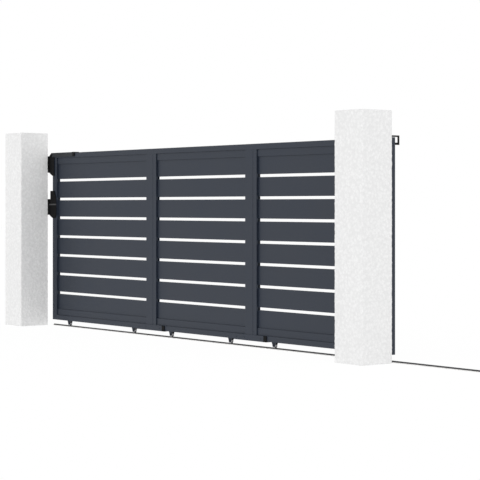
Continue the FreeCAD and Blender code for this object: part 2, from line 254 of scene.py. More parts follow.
class GateStage(bpy.types.PropertyGroup):
    """Camera, floor and light."""

    lens: FloatProperty(
        name="Lens", description="Focal length of the camera on a 36 mm sensor", default=119.6136,
    )
    camera_place: FloatVectorProperty(
        name="Camera Place", description="Where the camera stands", subtype="TRANSLATION", size=3,
        default=(13.4509, -7.9882, 1.159), unit="LENGTH",
    )
    camera_turn: FloatProperty(
        name="Camera Turn", description="Heading of the level camera, from straight across the gate",
        default=math.radians(51.6727), subtype="ANGLE",
    )
    frame_drop: FloatProperty(
        name="Frame Drop",
        description="Shift of the level camera's frame as a share of the picture, negative to lower it",
        default=-0.072,
    )
    dome: FloatProperty(
        name="Dome Light", description="Strength of the white dome at its middle", default=0.82,
    )
    dome_lean: FloatProperty(
        name="Dome Lean", description="How much the dome is brighter on its bright side", default=0.7,
    )
    dome_side: FloatVectorProperty(
        name="Dome Side", description="Way to the dome's bright side", subtype="DIRECTION", size=3,
        default=(0.85, -0.527, 0.0),
    )
    box_light: FloatProperty(
        name="Soft Box", description="Strength of the soft box that the leaf reflects", default=0.95,
    )
    box_side: FloatVectorProperty(
        name="Soft Box Side", description="Way to the soft box", subtype="DIRECTION", size=3,
        default=(-0.6, -0.8, 0.0),
    )
    box_focus: FloatProperty(
        name="Soft Box Focus", description="How quickly the soft box's light falls off beside it",
        default=8.0,
    )
    floor_glow: FloatProperty(
        name="Floor Glow", description="Share of the pale floor's light that no shadow dims",
        default=0.975,
    )
    floor_tone: FloatProperty(
        name="Floor Tone", description="Share of the light on the pale floor that it throws back",
        default=0.03,
    )
    floor_half: FloatProperty(
        name="Floor Half Width", description="Half the width of the floor", default=60.0, unit="LENGTH",
    )


# Node building

def place(tree, kind, inputs=None, **settings):
    """Adds a node, sets its options and fills or links its inputs."""
    node = tree.nodes.new(kind)
    for name, value in settings.items():
        setattr(node, name, value)
    for name, value in (inputs or {}).items():
        if isinstance(value, bpy.types.NodeSocket):
            tree.links.new(value, node.inputs[name])
        else:
            node.inputs[name].default_value = value
    return node


def maths(tree, operation, *values):
    """Result of a Math node."""
    return place(tree, "ShaderNodeMath", dict(enumerate(values)), operation=operation).outputs[0]


def vectors(tree, operation, *values):
    """Vector result of a Vector Math node."""
    return place(tree, "ShaderNodeVectorMath", dict(enumerate(values)), operation=operation).outputs[0]


def along(tree, vector, way):
    """How far a vector goes along a way."""
    node = place(tree, "ShaderNodeVectorMath", {0: vector, 1: way}, operation="DOT_PRODUCT")
    return node.outputs["Value"]


def stretch(tree, vector, amounts):
    """Vector with each axis multiplied by its own amount."""
    return vectors(tree, "MULTIPLY", vector, amounts)


def weighed_sum(tree, first, first_weight, second, second_weight):
    """Sum of two values, each times its own weight."""
    return maths(
        tree, "ADD",
        maths(tree, "MULTIPLY", first, first_weight),
        maths(tree, "MULTIPLY", second, second_weight),
    )


def noise(tree, vector, scale, detail, roughness):
    """Grey value of a noise texture."""
    inputs = {"Vector": vector, "Scale": scale, "Detail": detail, "Roughness": roughness}
    return place(tree, "ShaderNodeTexNoise", inputs).outputs[0]


def spread(tree, value, low, high, new_low=0.0, new_high=1.0):
    """Value moved from one range to another, and held inside it."""
    inputs = {"Value": value, "From Min": low, "From Max": high, "To Min": new_low, "To Max": new_high}
    return place(tree, "ShaderNodeMapRange", inputs).outputs[0]


def blend_colours(tree, share, first, second):
    """Colour between two colours."""
    inputs = {MIX_SHARE: share, MIX_FIRST: first, MIX_SECOND: second}
    return place(tree, "ShaderNodeMix", inputs, data_type="RGBA").outputs[MIX_RESULT]


def shade(colour, amount):
    """Colour made lighter or darker, with alpha."""
    return tuple(min(1.0, part * amount) for part in colour) + (1.0,)


def toned(tree, share, colour, dark, light):
    """Colour that goes from a dark to a light shade of itself."""
    return blend_colours(tree, share, shade(colour, dark), shade(colour, light))


# Shared surface effects

def new_group(name, inputs, outputs):
    """Empty shader node group with named inputs and outputs."""
    tree = bpy.data.node_groups.new(name, "ShaderNodeTree")
    for label, kind in inputs:
        tree.interface.new_socket(label, in_out="INPUT", socket_type=kind)
    for label, kind in outputs:
        tree.interface.new_socket(label, in_out="OUTPUT", socket_type=kind)
    return tree, tree.nodes.new("NodeGroupInput"), tree.nodes.new("NodeGroupOutput")


def coat_grain_group():
    """Fine orange peel of a coat: its height, a slow drift of tone, and the roughness of both."""
    tree, given, result = new_group(
        "coat_grain",
        [("Coordinates", "NodeSocketVector"), ("Grain", "NodeSocketFloat"), ("Drift", "NodeSocketFloat")],
        [("Height", "NodeSocketFloat"), ("Tone", "NodeSocketFloat"), ("Roughness", "NodeSocketFloat")],
    )
    where = given.outputs["Coordinates"]
    peel_roughness = 0.10
    drift_roughness = 0.12
    peel = noise(tree, where, given.outputs["Grain"], detail=3.0, roughness=0.6)
    drift = noise(tree, where, given.outputs["Drift"], detail=4.0, roughness=0.55)
    tree.links.new(peel, result.inputs["Height"])
    tree.links.new(spread(tree, drift, low=0.3, high=0.7), result.inputs["Tone"])
    rough = weighed_sum(tree, peel, peel_roughness, drift, drift_roughness)
    tree.links.new(rough, result.inputs["Roughness"])
    return tree


def drawn_lines_group():
    """Fine lines of drawn, brushed or turned metal along the stretched coordinates it is given."""
    tree, given, result = new_group(
        "drawn_lines",
        [("Coordinates", "NodeSocketVector"), ("Fineness", "NodeSocketFloat")],
        [("Lines", "NodeSocketFloat"), ("Stain", "NodeSocketFloat")],
    )
    where = given.outputs["Coordinates"]
    fineness = given.outputs["Fineness"]
    stain_fineness = maths(tree, "MULTIPLY", fineness, 0.03)
    lines = noise(tree, where, fineness, detail=3.0, roughness=0.7)
    stain = noise(tree, where, stain_fineness, detail=4.0, roughness=0.6)
    tree.links.new(spread(tree, lines, low=0.3, high=0.7), result.inputs["Lines"])
    tree.links.new(spread(tree, stain, low=0.35, high=0.7), result.inputs["Stain"])
    return tree


def use_group(tree, group, inputs):
    """Places a shared effect in a material and gives its outputs."""
    return place(tree, "ShaderNodeGroup", inputs, node_tree=group).outputs


# Materials

def new_finish(name):
    """Material with an empty Principled shader; gives its tree, the shader and Object coordinates."""
    material = bpy.data.materials.new(name)
    material.use_nodes = True
    tree = material.node_tree
    tree.nodes.clear()
    output = tree.nodes.new("ShaderNodeOutputMaterial")
    shader = tree.nodes.new("ShaderNodeBsdfPrincipled")
    tree.links.new(shader.outputs[0], output.inputs["Surface"])
    where = tree.nodes.new("ShaderNodeTexCoord").outputs["Object"]
    return material, tree, shader, where


def bump(tree, shader, height, strength, depth):
    """Fine relief on the shader's normal."""
    node = place(tree, "ShaderNodeBump", {"Height": height, "Strength": strength, "Distance": depth})
    tree.links.new(node.outputs[0], shader.inputs["Normal"])


def painted_metal(name, colour, gloss, roughness, grain, depth):
    """Sprayed or powder-coated metal with orange peel and a slow drift of tone."""
    material, tree, shader, where = new_finish(name)
    peel = use_group(tree, effects["coat_grain"], {"Coordinates": where, "Grain": grain, "Drift": 2.6})
    colours = toned(tree, peel["Tone"], colour, dark=0.93, light=1.07)
    tree.links.new(colours, shader.inputs["Base Color"])
    tree.links.new(maths(tree, "ADD", peel["Roughness"], roughness), shader.inputs["Roughness"])
    shader.inputs["Specular IOR Level"].default_value = gloss
    bump(tree, shader, peel["Height"], strength=0.35, depth=depth)
    return material


def moulded(name, colour, gloss, roughness):
    """Moulded plastic or rubber with a fine spark-eroded grain."""
    material, tree, shader, where = new_finish(name)
    peel = use_group(tree, effects["coat_grain"], {"Coordinates": where, "Grain": 900.0, "Drift": 9.0})
    colours = toned(tree, peel["Tone"], colour, dark=0.85, light=1.2)
    tree.links.new(colours, shader.inputs["Base Color"])
    tree.links.new(maths(tree, "ADD", peel["Roughness"], roughness), shader.inputs["Roughness"])
    shader.inputs["Specular IOR Level"].default_value = gloss
    bump(tree, shader, peel["Height"], strength=0.6, depth=0.0003)
    return material


def drawn_metal(name, colour, stretch_by, fineness, roughness, metallic):
    """Bare metal with lines along its length and faint stains."""
    material, tree, shader, where = new_finish(name)
    run = stretch(tree, where, stretch_by)
    marks = use_group(tree, effects["drawn_lines"], {"Coordinates": run, "Fineness": fineness})
    lined = toned(tree, marks["Lines"], colour, dark=0.86, light=1.12)
    stain_strength = maths(tree, "MULTIPLY", marks["Stain"], 0.35)
    stained = blend_colours(tree, stain_strength, lined, shade(colour, 0.62))
    tree.links.new(stained, shader.inputs["Base Color"])
    smoothest = roughness - 0.06
    roughest = roughness + 0.08
    rough = spread(tree, marks["Lines"], 0.0, 1.0, smoothest, roughest)
    stain_roughness = maths(tree, "MULTIPLY", marks["Stain"], 0.12)
    tree.links.new(maths(tree, "ADD", rough, stain_roughness), shader.inputs["Roughness"])
    shader.inputs["Metallic"].default_value = metallic
    bump(tree, shader, marks["Lines"], strength=0.25, depth=0.0002)
    return material


def rail_with_painted_sheen(name, colour, strip_sheen, strip_top):
    """Dark worn steel above the flat strip, and on the strip a pale painted reflection of the white
    surroundings.
    """
    material, tree, shader, where = new_finish(name)
    run = stretch(tree, where, ALONG_GATE)
    marks = use_group(tree, effects["drawn_lines"], {"Coordinates": run, "Fineness": 700.0})
    steel = toned(tree, marks["Lines"], colour, dark=0.85, light=1.2)
    drift = noise(tree, where, scale=45.0, detail=4.0, roughness=0.6)
    # Painted reflection: pale colour on the flat strip that stands in for its reflection of the white
    # surroundings
    painted_sheen = toned(tree, spread(tree, drift, low=0.35, high=0.65), strip_sheen, dark=0.82, light=1.08)

    # The painted reflection thins out between two heights above the strip, along a line that wanders
    wander = 0.0016
    sheen_whole = strip_top + 0.0002
    sheen_gone = strip_top + 0.0010
    height = place(tree, "ShaderNodeSeparateXYZ", {0: where}).outputs["Z"]
    swing = maths(tree, "MULTIPLY", maths(tree, "SUBTRACT", drift, 0.5), wander)
    bare = spread(tree, maths(tree, "ADD", height, swing), sheen_whole, sheen_gone)
    tree.links.new(blend_colours(tree, bare, painted_sheen, steel), shader.inputs["Base Color"])
    sheen_roughness = 0.9
    steel_roughness = 0.5
    rough = spread(tree, bare, 0.0, 1.0, sheen_roughness, steel_roughness)
    tree.links.new(rough, shader.inputs["Roughness"])
    shader.inputs["Specular IOR Level"].default_value = 0.25
    bump(tree, shader, maths(tree, "ADD", marks["Lines"], drift), strength=0.3, depth=0.0003)
    return material


def coat_hollows(tree, where, fineness):
    """Hollows between the grains of the sprayed coat, from 0 on a grain to 1 in a hollow."""
    lumps = place(tree, "ShaderNodeTexVoronoi", {
        "Vector": where, "Scale": fineness, "Smoothness": 0.6, "Randomness": 1.0,
    }, feature="SMOOTH_F1").outputs["Distance"]
    swirl_fineness = maths(tree, "MULTIPLY", fineness, 0.9)
    swirl = noise(tree, where, swirl_fineness, detail=3.0, roughness=0.6)
    lump_weight = 0.6
    swirl_weight = 0.4
    return weighed_sum(
        tree, spread(tree, lumps, low=0.05, high=0.75), lump_weight,
        spread(tree, swirl, low=0.25, high=0.75), swirl_weight,
    )


def sprayed_coat(name, colour, grain):
    """White sprayed render: mineral grains, painted shade in its pits and hollows, and a faint uneven
    drying.
    """
    material, tree, shader, where = new_finish(name)
    grains = noise(tree, where, scale=260.0, detail=5.0, roughness=0.65)
    pits = place(tree, "ShaderNodeTexVoronoi", {"Vector": where, "Scale": 120.0}).outputs["Distance"]
    drying = noise(tree, where, scale=2.2, detail=5.0, roughness=0.6)
    grain_weight = 0.55
    drying_weight = 0.45
    uneven = weighed_sum(tree, grains, grain_weight, drying, drying_weight)
    dried = toned(tree, spread(tree, uneven, low=0.34, high=0.66), colour, dark=0.97, light=1.03)
    # Painted shade: the coat's hollows and fine pits are darkened in the colour, standing in for shade of
    # its relief
    hollow_shade = spread(tree, coat_hollows(tree, where, 1.0 / grain), low=0.25, high=0.8)
    pit_shade = spread(tree, maths(tree, "ADD", pits, grains), low=0.55, high=1.15)
    pit_shade_weight = 0.45
    hollow_shade_weight = 0.75
    painted_relief_shade = weighed_sum(tree, pit_shade, pit_shade_weight, hollow_shade, hollow_shade_weight)
    colours = blend_colours(tree, painted_relief_shade, dried, shade(colour, 0.87))
    tree.links.new(colours, shader.inputs["Base Color"])
    shader.inputs["Roughness"].default_value = 0.92
    shader.inputs["Specular IOR Level"].default_value = 0.2
    pit_depth = maths(tree, "MULTIPLY", pits, 0.8)
    bump(tree, shader, maths(tree, "ADD", grains, pit_depth), strength=0.8, depth=0.0012)
    return material


def make_finishes():
    """Every material of the gate, by its slot in the record."""
    colours = bpy.context.scene.gate_colours
    sizes = bpy.context.scene.gate_sizes
    effects["coat_grain"] = coat_grain_group()
    effects["drawn_lines"] = drawn_lines_group()
    finishes["white_render"] = sprayed_coat("sprayed_coat", colours.coat_white, sizes.coat_grain)
    finishes["anthracite_paint"] = painted_metal(
        "anthracite_powder_coat", colours.anthracite,
        gloss=0.5, roughness=0.45, grain=1500.0, depth=0.00015,
    )
    finishes["black_paint"] = painted_metal(
        "black_paint", colours.black, gloss=0.1, roughness=0.45, grain=900.0, depth=0.0002
    )
    finishes["grey_paint"] = painted_metal(
        "grey_paint", colours.grey, gloss=0.25, roughness=0.38, grain=1200.0, depth=0.00015
    )
    carrier_colour = shade(colours.anthracite, 0.75)[:3]
    finishes["carrier_steel"] = painted_metal(
        "carrier_black", carrier_colour, gloss=0.25, roughness=0.4, grain=900.0, depth=0.0002
    )
    finishes["black_plastic"] = moulded("black_plastic", colours.plastic, gloss=0.1, roughness=0.5)
    finishes["black_rubber"] = moulded("black_rubber", colours.rubber, gloss=0.15, roughness=0.7)
    finishes["rail_steel"] = rail_with_painted_sheen("rail_steel", colours.rail, colours.strip_sheen, sizes.strip_top)
    finishes["wheel_steel"] = drawn_metal(
        "wheel_steel", colours.steel, ACROSS_GATE, fineness=1100.0, roughness=0.36, metallic=0.9
    )
    finishes["lock_steel"] = drawn_metal(
        "lock_steel", colours.strike, ALONG_GATE, fineness=1400.0, roughness=0.4, metallic=0.85
    )


# Pieces

def new_piece(name, mesh, body, slot):
    """Links a finished mesh as a piece that rides on a body."""
    piece = bpy.data.objects.new(name, mesh)
    bpy.context.scene.collection.objects.link(piece)
    mesh.materials.clear()
    mesh.materials.append(finishes[slot])
    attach(piece, body)
    return piece


def round_edges(shape, edges, radius):
    """Rounds the given edges of a mesh."""
    bmesh.ops.bevel(
        shape, geom=edges, offset=radius, offset_type="OFFSET", segments=2, profile=0.5,
        affect="EDGES", clamp_overlap=True,
    )


def corner_edges(shape, shortest):
    """Outer corner edges of a mesh that are longer than a given length."""
    return [
        edge for edge in shape.edges
        if edge.is_manifold and edge.is_convex
        and edge.calc_face_angle() > CORNER_ANGLE and edge.calc_length() > shortest
    ]


def near_plane(edge, x, reach):
    """Whether both ends of an edge lie within reach of the upright plane across the gate at x."""
    return all(abs(end.co.x - x) < reach for end in edge.verts)


def softened(node, name, body, radius, shortest=0.0, seam=None, seam_radius=0.0):
    """Puts a copy with rounded edges in a node's place; upright edges in a seam's plane are rounder."""
    shape = bmesh.new()
    shape.from_mesh(frame["nodes"][node].data)
    bmesh.ops.remove_doubles(shape, verts=shape.verts, dist=WELD)
    bmesh.ops.dissolve_limit(
        shape, angle_limit=FLAT_ANGLE, use_dissolve_boundaries=False, verts=shape.verts, edges=shape.edges
    )
    if seam is not None:
        round_edges(shape, [
            edge for edge in corner_edges(shape, shortest)
            if near_plane(edge, seam, WELD)
            and abs(edge.verts[0].co.z - edge.verts[1].co.z) > shortest
        ], seam_radius)
    round_edges(shape, [
        edge for edge in corner_edges(shape, shortest)
        if seam is None or not near_plane(edge, seam, seam_radius + WELD)
    ], radius)
    bmesh.ops.dissolve_degenerate(shape, dist=WELD, edges=shape.edges)
    mesh = bpy.data.meshes.new(name)
    shape.to_mesh(mesh)
    shape.free()
    piece = new_piece(name, mesh, body, slot_of(node))
    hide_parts(node)


def finish_node(node):
    """Gives a node the finish of its slot."""
    materials = frame["nodes"][node].data.materials
    finish = finishes[slot_of(node)]
    if not len(materials):
        materials.append(finish)
    for index in range(len(materials)):
        materials[index] = finish


# Geometry Nodes

def new_shape_tree(name, inputs):
    """Geometry node group with a geometry input and output and named size inputs."""
    tree = bpy.data.node_groups.new(name, "GeometryNodeTree")
    tree.interface.new_socket("Geometry", in_out="INPUT", socket_type="NodeSocketGeometry")
    for label, kind in inputs:
        tree.interface.new_socket(label, in_out="INPUT", socket_type=kind)
    tree.interface.new_socket("Geometry", in_out="OUTPUT", socket_type="NodeSocketGeometry")
    return tree, tree.nodes.new("NodeGroupInput"), tree.nodes.new("NodeGroupOutput")


def finish_tree(tree, geometry, material, result):
    """Realizes the instances, sets the material and ends the tree."""
    real = place(tree, "GeometryNodeRealizeInstances", {"Geometry": geometry})
    painted = place(tree, "GeometryNodeSetMaterial", {"Geometry": real.outputs[0], "Material": material})
    tree.links.new(painted.outputs[0], result.inputs[0])


def grown_mesh(name, seed_mesh, tree, values):
    """Plain mesh that a tree makes from a seed mesh with the given input values."""
    seed = bpy.data.objects.new(name + "_seed", seed_mesh)
    bpy.context.scene.collection.objects.link(seed)
    modifier = seed.modifiers.new("shape", "NODES")
    modifier.node_group = tree
    for item in tree.interface.items_tree:
        if item.in_out == "INPUT" and item.name in values:
            modifier[item.identifier] = values[item.name]
    graph = bpy.context.evaluated_depsgraph_get()
    mesh = bpy.data.meshes.new_from_object(seed.evaluated_get(graph))
    seed.modifiers.remove(modifier)
    bpy.data.objects.remove(seed)
    mesh.name = name
    if not len(mesh.polygons):
        raise RuntimeError(name + " came out empty")
    return mesh


def coat_tree():
    """Block with rounded upright and top edges whose faces are broken up into sprayed grains."""
    tree, given, result = new_shape_tree("sprayed_coat_shape", [
        ("Low", "NodeSocketVector"), ("High", "NodeSocketVector"), ("Spacing", "NodeSocketFloat"),
        ("Arris", "NodeSocketFloat"), ("Relief", "NodeSocketFloat"), ("Grain", "NodeSocketFloat"),
        ("Material", "NodeSocketMaterial"),
    ])
    low = given.outputs["Low"]
    high = given.outputs["High"]
    size = vectors(tree, "SUBTRACT", high, low)
    spacing = place(tree, "ShaderNodeCombineXYZ", dict.fromkeys("XYZ", given.outputs["Spacing"]))
    counts = place(tree, "ShaderNodeSeparateXYZ", {
        0: vectors(tree, "DIVIDE", size, spacing.outputs[0]),
    })
    block = place(tree, "GeometryNodeMeshCube", {
        "Size": size, "Vertices X": counts.outputs[0], "Vertices Y": counts.outputs[1],
        "Vertices Z": counts.outputs[2],
    })
    half = (0.5, 0.5, 0.5)
    centre = vectors(tree, "MULTIPLY", vectors(tree, "ADD", low, high), half)
    where = vectors(tree, "ADD", tree.nodes.new("GeometryNodeInputPosition").outputs[0], centre)

    # The core is the block less the arris on its sides and top; grains stand out along the way from it
    arris = given.outputs["Arris"]
    side = place(tree, "ShaderNodeCombineXYZ", {"X": arris, "Y": arris}).outputs[0]
    corner = place(tree, "ShaderNodeCombineXYZ", dict.fromkeys("XYZ", arris)).outputs[0]
    core = vectors(
        tree, "MINIMUM",
        vectors(tree, "MAXIMUM", where, vectors(tree, "ADD", low, side)),
        vectors(tree, "SUBTRACT", high, corner),
    )
    outward = vectors(tree, "NORMALIZE", vectors(tree, "SUBTRACT", where, core))
    hollow = coat_hollows(tree, where, maths(tree, "DIVIDE", 1.0, given.outputs["Grain"]))
    reach = maths(tree, "SUBTRACT", arris, maths(tree, "MULTIPLY", hollow, given.outputs["Relief"]))
    scaled = place(tree, "ShaderNodeVectorMath", {0: outward, "Scale": reach}, operation="SCALE")
    moved = place(tree, "GeometryNodeSetPosition", {
        "Geometry": block.outputs["Mesh"], "Position": vectors(tree, "ADD", core, scaled.outputs[0]),
    })
    smooth = place(tree, "GeometryNodeSetShadeSmooth", {"Geometry": moved.outputs[0]})
    finish_tree(tree, smooth.outputs[0], given.outputs["Material"], result)
    return tree


def stepped_head(tree, radius, sides, height, base, steps):
    """Closed head on a disc: base and rises are shares of the height, and each step scales its top."""
    depth = maths(tree, "MULTIPLY", height, base)
    disc = place(
        tree, "GeometryNodeMeshCylinder", {"Vertices": sides, "Radius": radius, "Depth": depth},
        fill_type="NGON",
    )
    up = place(tree, "ShaderNodeCombineXYZ", {"Z": maths(tree, "MULTIPLY", depth, 0.5)}).outputs[0]
    raised = place(tree, "GeometryNodeTransform", {"Geometry": disc.outputs["Mesh"], "Translation": up})
    shape = raised.outputs[0]
    top = disc.outputs["Top"]
    for rise, scale in steps:
        lift = maths(tree, "MULTIPLY", height, rise)
        grown = place(
            tree, "GeometryNodeExtrudeMesh",
            {"Mesh": shape, "Selection": top, "Offset Scale": lift, "Individual": False}, mode="FACES",
        )
        top = grown.outputs["Top"]
        scaled = place(
            tree, "GeometryNodeScaleElements",
            {"Geometry": grown.outputs["Mesh"], "Selection": top, "Scale": scale}, domain="FACE",
        )
        shape = scaled.outputs[0]
    return shape


def set_on_points(tree, points, shape):
    """Copies of a shape on the seed's points, each turned to the point's own facing."""
    facing = place(tree, "GeometryNodeInputNamedAttribute", {"Name": "facing"}, data_type="FLOAT_VECTOR")
    turned = place(
        tree, "FunctionNodeAlignRotationToVector", {"Vector": facing.outputs["Attribute"]}, axis="Z"
    )
    copies = place(tree, "GeometryNodeInstanceOnPoints", {
        "Points": points, "Instance": shape, "Rotation": turned.outputs[0],
    })
    return copies.outputs[0]


def bolt_tree():
    """Hexagon bolt heads on round washers."""
    tree, given, result = new_shape_tree("hexagon_bolts", [
        ("Head Width", "NodeSocketFloat"), ("Head Height", "NodeSocketFloat"),
        ("Washer Radius", "NodeSocketFloat"), ("Washer Thickness", "NodeSocketFloat"),
        ("Material", "NodeSocketMaterial"),
    ])
    thickness = given.outputs["Washer Thickness"]
    washer = stepped_head(
        tree, given.outputs["Washer Radius"], sides=28, height=thickness, base=1.0, steps=((0.2, 0.94),)
    )
    head = stepped_head(
        tree, maths(tree, "MULTIPLY", given.outputs["Head Width"], 0.5), sides=6,
        height=given.outputs["Head Height"], base=0.85, steps=((0.15, 0.86), (0.0, 0.8)),
    )
    lift = place(tree, "ShaderNodeCombineXYZ", {"Z": thickness}).outputs[0]
    seated = place(tree, "GeometryNodeTransform", {"Geometry": head, "Translation": lift}).outputs[0]
    both = tree.nodes.new("GeometryNodeJoinGeometry")
    tree.links.new(washer, both.inputs[0])
    tree.links.new(seated, both.inputs[0])
    copies = set_on_points(tree, given.outputs["Geometry"], both.outputs[0])
    finish_tree(tree, copies, given.outputs["Material"], result)
    return tree


def screw_tree():
    """Low round screw heads; the last step goes down into a sunk socket."""
    tree, given, result = new_shape_tree("round_screws", [
        ("Head Radius", "NodeSocketFloat"), ("Head Height", "NodeSocketFloat"),
        ("Material", "NodeSocketMaterial"),
    ])
    head = stepped_head(
        tree, given.outputs["Head Radius"], sides=18, height=given.outputs["Head Height"], base=0.4,
        steps=((0.38, 0.86), (0.22, 0.72), (0.0, 0.62), (-0.6, 0.94)),
    )
    copies = set_on_points(tree, given.outputs["Geometry"], head)
    finish_tree(tree, copies, given.outputs["Material"], result)
    return tree


def seat_points(name, seats):
    """Mesh of bare points, each with the way that its fastener faces."""
    mesh = bpy.data.meshes.new(name)
    mesh.from_pydata([spot for spot, facing in seats], [], [])
    facing = mesh.attributes.new("facing", "FLOAT_VECTOR", "POINT")
    for item, (spot, way) in zip(facing.data, seats):
        item.vector = way
    return mesh


# Places of the fasteners, each with the way it faces

def bolt_seats():
    """Anchor bolts of the guide plate and both catches, and the bolts through the rail stop."""
    seats = []
    plate_thickness = 0.006
    plate_margin = 0.02
    lower_row = 0.062
    low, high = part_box("top_guide")
    for x in (low.x + plate_margin, high.x - plate_margin):
        for z in (high.z - lower_row, high.z - plate_margin):
            seats.append(((x, low.y + plate_thickness, z), BACK))
    flange_thickness = 0.012
    flange_margin = 0.035
    end_margin = 0.055
    keeper_top_margin = 0.1
    for node, top_margin in (("receiver_block", end_margin), ("lock_keeper", keeper_top_margin)):
        low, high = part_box(node)
        for z in (low.z + end_margin, high.z - top_margin):
            seats.append(((low.x + flange_margin, low.y + flange_thickness, z), BACK))
    stop_margin = 0.016
    stop_bolt_height = 0.021
    low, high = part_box("rail_stop")
    for x in (low.x + stop_margin, high.x - stop_margin):
        seats.append(((x, low.y, low.z + stop_bolt_height), FRONT))
        seats.append(((x, high.y, low.z + stop_bolt_height), BACK))
    return seats


def rail_screw_seats():
    """Screws down both edges of the ground rail."""
    seats = []
    sizes = bpy.context.scene.gate_sizes
    edge_margin = 0.0055
    end_margin = 0.1
    low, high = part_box("ground_rail")
    count = int((high.x - low.x - 2 * end_margin) / sizes.rail_screw_spacing)
    for index in range(count + 1):
        x = low.x + end_margin + index * sizes.rail_screw_spacing
        for y in (low.y + edge_margin, high.y - edge_margin):
            seats.append(((x, y, sizes.strip_top), UP))
    return seats


def leaf_screw_seats():
    """Painted screws of the joining channels and of the leaf's two ends."""
    seats = []
    channel_shares = (0.1, 0.37, 0.9)
    for number in JOINTS:
        low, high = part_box("joining_channel_%d" % number)
        z = (low.z + high.z) / 2
        for share in channel_shares:
            x = low.x + (high.x - low.x) * share
            seats.append(((x, low.y, z), FRONT))
            seats.append(((x, high.y, z), BACK))
    lowest_screw = 0.023
    second_screw = 0.075
    top_margin = 0.015
    for node, way in (("section_1_left_stile", LEFT), ("section_3_right_stile", RIGHT)):
        low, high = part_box(node)
        x = low.x if way == LEFT else high.x
        y = (low.y + high.y) / 2
        for z in (low.z + lowest_screw, low.z + second_screw, high.z - top_margin):
            seats.append(((x, y, z), way))
    return seats


def lock_screw_seats():
    """Two screws of the lock's face plate."""
    plate_thickness = 0.003
    end_margin = 0.014
    low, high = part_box("leaf_lock")
    face = high.x - plate_thickness
    y = (low.y + high.y) / 2
    return [((face, y, z), LEFT) for z in (low.z + end_margin, high.z - end_margin)]


# Operators

class GATE_OT_finishes(bpy.types.Operator):
    """Make the gate's materials and give them to every node"""

    bl_idname = "gate.finishes"
    bl_label = "Finishes"

    def execute(self, context):
        make_finishes()
        for node in frame["nodes"]:
            finish_node(node)
        return {"FINISHED"}


class GATE_OT_pillars(bpy.types.Operator):
    """Spray the two pillars with their white coat"""

    bl_idname = "gate.pillars"
    bl_label = "Pillars"

    def execute(self, context):
        sizes = context.scene.gate_sizes
        tree = coat_tree()
        for side in ("left", "right"):
            node = side + "_pillar"
            low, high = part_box(node)
            mesh = grown_mesh(node + "_coat", bpy.data.meshes.new("pillar_seed"), tree, {
                "Low": low, "High": high, "Spacing": sizes.coat_spacing, "Arris": sizes.coat_arris,
                "Relief": sizes.coat_relief, "Grain": sizes.coat_grain,
                "Material": finishes["white_render"],
            })
            piece = new_piece(node + "_coat", mesh, FIXED, "white_render")
            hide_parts(node)
        return {"FINISHED"}


class GATE_OT_leaf(bpy.types.Operator):
    """Round the edges of the leaf's extruded profiles and joining channels"""

    bl_idname = "gate.leaf"
    bl_label = "Leaf"

    def execute(self, context):
        sizes = context.scene.gate_sizes
        radius = sizes.profile_radius
        names = ["section_1_left_stile", "section_3_right_stile"]
        names += ["section_%d_%s" % (number, part) for number in SECTIONS for part in (
            "bottom_rail", "bands", "boards",
        )]
        names += ["top_rail_%d" % number for number in SECTIONS]
        names += ["joining_channel_%d" % number for number in JOINTS]
        names += ["joining_channel_cap_%d" % number for number in JOINTS]
        names += ["top_rail_caps", "leaf_lock"]
        for name in names:
            softened(name, name + "_profile", LEAF, radius, PROFILE_EDGE)
        for number in JOINTS:
            left = "section_%d_right_stile" % number
            right = "section_%d_left_stile" % (number + 1)
            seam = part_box(left)[1].x
            for name in (left, right):
                softened(
                    name, name + "_profile", LEAF, radius, LENGTHWAYS_EDGE, seam, sizes.seam_radius
                )
        return {"FINISHED"}


class GATE_OT_running_gear(bpy.types.Operator):
    """Finish the wheels, their carriers, the ground rail and its stop"""

    bl_idname = "gate.running_gear"
    bl_label = "Running Gear"

    def execute(self, context):
        radius = context.scene.gate_sizes.steel_radius
        for number in WHEELS:
            wheel = "wheel_%d" % number
            carrier = "wheel_carrier_%d" % number
            softened(wheel, wheel + "_turned", wheel, radius)
            softened(carrier, carrier + "_plates", LEAF, radius, PLATE_EDGE)
        softened("ground_rail", "ground_rail_drawn", FIXED, radius, LENGTHWAYS_EDGE)
        softened("rail_stop", "rail_stop_block", FIXED, 2 * radius, BLOCK_EDGE)
        return {"FINISHED"}


class GATE_OT_catches(bpy.types.Operator):
    """Finish the receiver, the lock keeper, the top guide, the pads and the buffer"""

    bl_idname = "gate.catches"
    bl_label = "Catches and Guide"

    def execute(self, context):
        sizes = context.scene.gate_sizes
        softened("receiver_block", "receiver_block_body", FIXED, sizes.catch_radius)
        softened("lock_keeper", "lock_keeper_body", FIXED, sizes.catch_radius)
        softened("keeper_strike", "keeper_strike_plate", FIXED, sizes.steel_radius)
        softened("receiver_channel", "receiver_channel_fold", FIXED, sizes.profile_radius, FOLD_EDGE)
        softened("receiver_mouth", "receiver_mouth_lips", FIXED, sizes.catch_radius, FOLD_EDGE)
        softened("top_guide", "top_guide_bar", FIXED, sizes.profile_radius)
        softened("guide_pads", "guide_pads_moulded", FIXED, sizes.profile_radius)
        softened("closing_pad", "closing_pad_moulded", FIXED, sizes.profile_radius)
        softened("stop_buffer", "stop_buffer_moulded", FIXED, 2 * sizes.profile_radius)
        return {"FINISHED"}


